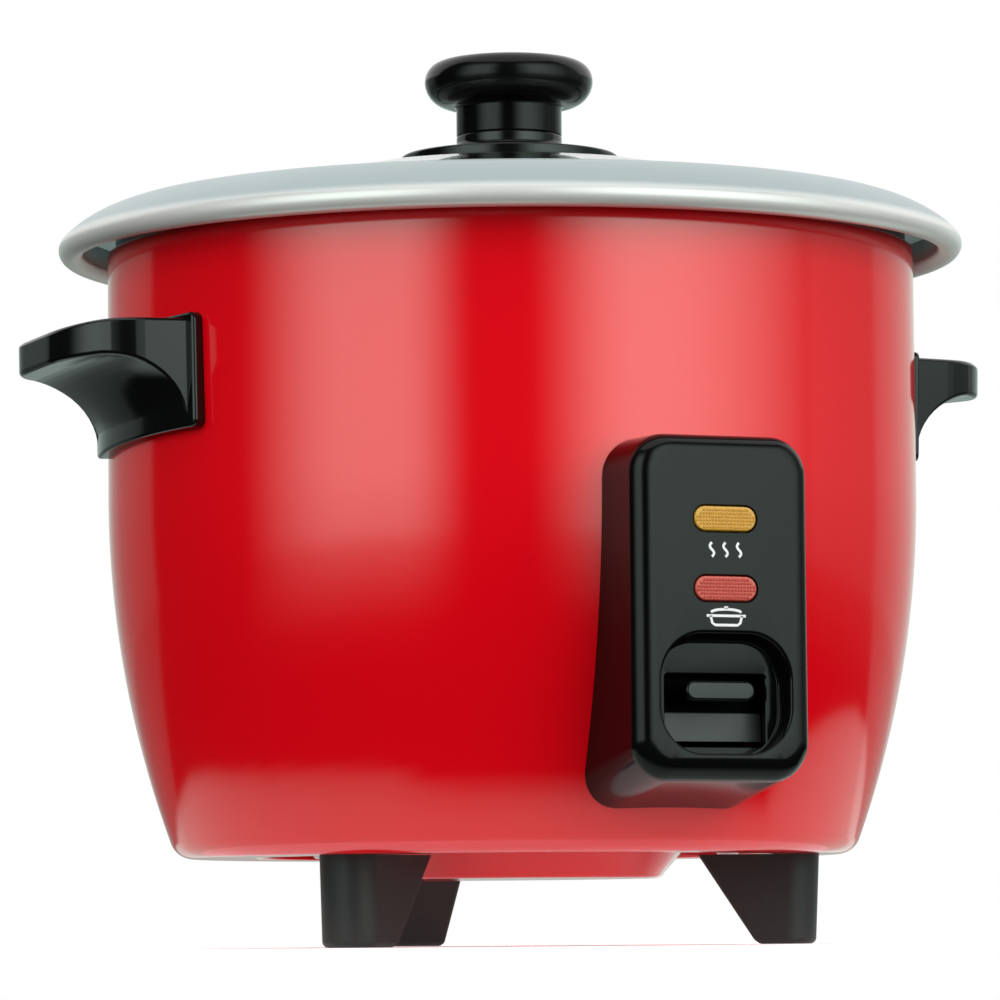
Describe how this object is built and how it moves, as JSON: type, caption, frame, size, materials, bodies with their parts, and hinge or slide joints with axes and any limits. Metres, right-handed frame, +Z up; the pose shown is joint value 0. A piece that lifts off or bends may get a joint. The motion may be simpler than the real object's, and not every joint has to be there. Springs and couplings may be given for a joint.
{
  "type": "rice cooker",
  "caption": "Drum rice cooker: tapered red metal body on wedge feet, lift-out aluminium pot with a wide brim, glass lid with knob, side handles, front panel with cook lever",
  "frame": {"origin": "on the floor under the drum's axis, level with the feet's bottoms", "axes": "+Z up, the control panel faces -Y, the handles point along X"},
  "size_m": [0.26, 0.2395, 0.2289],
  "materials": {
    "red_paint": "candy red metallic lacquer, glossy",
    "pot_aluminium": "satin anodised aluminium",
    "cast_aluminium": "turned casting",
    "black_plastic": "moulded black phenolic, satin gloss",
    "lid_glass": "clear tempered glass",
    "steel": "pressed steel",
    "fastener_steel": "zinc-plated screws",
    "amber_lens": "translucent amber, dimpled",
    "red_lens": "translucent red, dimpled",
    "lamp_glass": "small neon lamp",
    "board": "phenolic board",
    "ferrite": "sintered ferrite",
    "insulator": "moulded insulator",
    "brass": "plated brass",
    "silicone": "silicone washer"
  },
  "bodies": {
    "base": {"outer_body": "red_paint", "bottom_cover": "red_paint", "foot_front_left": "black_plastic", "foot_front_right": "black_plastic", "foot_rear": "black_plastic", "handle_left": "black_plastic", "handle_right": "black_plastic", "panel_housing": "black_plastic", "warm_lens": "amber_lens", "cook_lens": "red_lens", "lamp_board": "board", "warm_lamp": "lamp_glass", "cook_lamp": "lamp_glass", "heater_plate": "cast_aluminium", "heater_element": "steel", "heater_posts": "steel", "sensor_bracket": "steel", "sensor_spring": "steel", "lever_bracket": "steel", "lever_pin": "steel", "contact_block": "insulator", "contact_leaf": "brass", "fixed_contact": "brass", "warm_thermostat": "steel", "thermal_fuse": "steel", "fuse_clip": "steel", "inlet_housing": "black_plastic", "inlet_pins": "brass", "foot_screws": "fastener_steel", "base_screws": "fastener_steel", "handle_screws": "fastener_steel", "panel_screws": "fastener_steel", "inlet_screws": "fastener_steel"},
    "sensor": {"sensor_cap": "cast_aluminium", "ferrite_disc": "ferrite", "magnet_spring": "steel"},
    "magnet": {"magnet_carrier": "steel", "magnet_disc": "ferrite"},
    "lever": {"lever_arm": "steel", "lever_key": "black_plastic"},
    "pot": {"inner_pot": "pot_aluminium"},
    "lid": {"lid_glass": "lid_glass", "lid_band": "steel", "steam_vent": "steel", "knob_base": "black_plastic", "lid_knob": "black_plastic", "knob_washer": "silicone", "knob_screw": "fastener_steel"}
  },
  "joints": [
    {"name": "pot_lift", "type": "slide", "parent": "base", "child": "pot", "axis": [0, 0, 1], "range_m": [0, 0.12]},
    {"name": "lid_lift", "type": "slide", "parent": "pot", "child": "lid", "axis": [0, 0, 1], "range_m": [0, 0.08]},
    {"name": "lever_press", "type": "hinge", "parent": "base", "child": "lever", "pos_m": [0, -0.038, 0.044], "axis": [1, 0, 0], "range_deg": [0, 5], "stiffness_Nm_per_rad": 0.5, "springref_deg": -8.59},
    {"name": "sensor_rise", "type": "slide", "parent": "base", "child": "sensor", "axis": [0, 0, 1], "range_m": [0, 0.0041], "deforming": ["sensor_spring"]},
    {"name": "magnet_rise", "type": "slide", "parent": "sensor", "child": "magnet", "axis": [0, 0, 1], "range_m": [0, 0.0034], "deforming": ["magnet_spring"]}
  ],
  "couplings": [
    {"joint": "sensor_rise", "follows": "pot_lift", "ratio": 0.033333},
    {"joint": "magnet_rise", "follows": "lever_press", "m_per_rad": 0.038}
  ]
}
